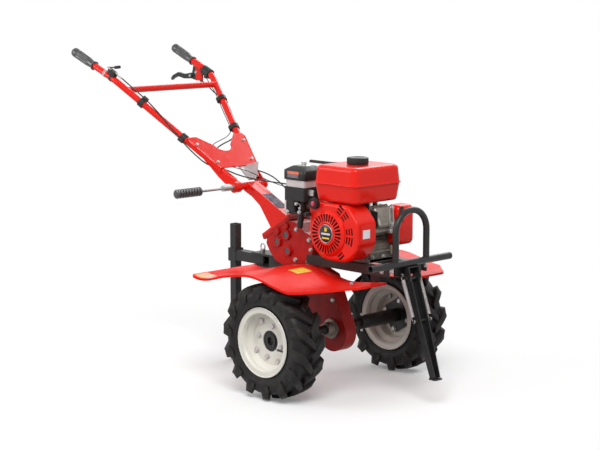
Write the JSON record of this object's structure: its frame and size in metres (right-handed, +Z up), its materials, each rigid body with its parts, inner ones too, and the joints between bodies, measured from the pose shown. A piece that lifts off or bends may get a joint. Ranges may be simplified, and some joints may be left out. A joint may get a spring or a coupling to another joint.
{
  "type": "walk-behind garden tiller",
  "caption": "Walk-behind petrol garden tiller on lugged tyres, with belt-driven gearbox, adjustable handlebar, fenders, bumper, front stand and rear depth bar.",
  "frame": {"origin": "on the ground, midway along and across the machine's overall box", "axes": "+X is forward towards the bumper, +Y is the operator's left, +Z is up"},
  "size_m": [1.6838, 0.774, 1.1754],
  "materials": {
    "tyre": "matte black rubber",
    "rim_cream": "cream gloss paint",
    "black_paint": "black satin paint",
    "red_paint": "red gloss paint",
    "zinc": "zinc plated",
    "aluminium": "die-cast",
    "black_rubber": "moulded rubber",
    "black_plastic": "textured",
    "cable_sheath": "smooth black sheath",
    "black_steel": "blackened steel",
    "cast_red": "painted red casting"
  },
  "bodies": {
    "machine": {"gearbox_case": "cast_red", "shaft_plugs": "black_rubber", "drive_case": "cast_red", "seal_covers": "aluminium", "column": "red_paint", "crankcase": "aluminium", "cylinder": "aluminium", "rocker_cover": "aluminium", "fan_cover": "red_paint", "recoil_starter": "red_paint", "recoil_handle": "black_plastic", "fuel_tank": "red_paint", "fuel_cap": "black_plastic", "air_cleaner_cap": "black_plastic", "air_cleaner_band": "zinc", "air_cleaner_body": "black_plastic", "carburettor": "aluminium", "muffler": "black_steel", "muffler_shield": "red_paint", "engine_switch": "black_plastic", "belt_cover": "red_paint", "shift_lever": "black_steel", "control_bracket": "zinc", "engine_rails": "black_paint", "bumper": "black_paint", "stand_bracket": "black_paint", "left_fender": "red_paint", "right_fender": "red_paint", "fender_brackets": "black_paint", "hitch_bracket": "black_paint", "hitch_pin": "zinc"},
    "wheels": {"axle": "black_steel", "left_hub": "black_paint", "right_hub": "black_paint", "left_rim": "rim_cream", "right_rim": "rim_cream", "left_tyre": "tyre", "right_tyre": "tyre", "hub_pins": "zinc", "valve_stems": "black_rubber"},
    "handlebar": {"handle_arms": "red_paint", "gusset_plate": "red_paint", "handle_tubes": "red_paint", "left_grip": "black_rubber", "right_grip": "black_rubber", "clamp_handle": "zinc", "clamp_grip": "black_rubber", "lock_strap": "zinc", "throttle_lever": "black_plastic", "clutch_lever": "black_paint", "switch_clamp": "black_plastic", "cable_clips": "black_plastic", "throttle_cable": "cable_sheath", "clutch_cable": "cable_sheath", "switch_wire": "cable_sheath"},
    "stand": {"stand": "black_paint", "stand_springs": "zinc"},
    "hitch": {"drawbar": "black_paint", "depth_bar": "black_paint"}
  },
  "joints": [
    {"name": "wheel_spin", "type": "hinge", "parent": "machine", "child": "wheels", "pos_m": [0.35415, 0, 0.205], "axis": [0, 1, 0], "continuous": true},
    {"name": "handlebar_height", "type": "hinge", "parent": "machine", "child": "handlebar", "pos_m": [-0.10085, 0, 0.678], "axis": [0, 1, 0], "range_deg": [-18, 15], "deforming": ["throttle_cable", "clutch_cable", "switch_wire"]},
    {"name": "stand_fold", "type": "hinge", "parent": "machine", "child": "stand", "pos_m": [0.71515, 0, 0.432], "axis": [0, -1, 0], "range_deg": [0, 78], "deforming": ["stand_springs"]},
    {"name": "hitch_swing", "type": "hinge", "parent": "machine", "child": "hitch", "pos_m": [-0.03485, 0, 0.407], "axis": [0, 0, 1], "range_deg": [-15, 15]}
  ]
}
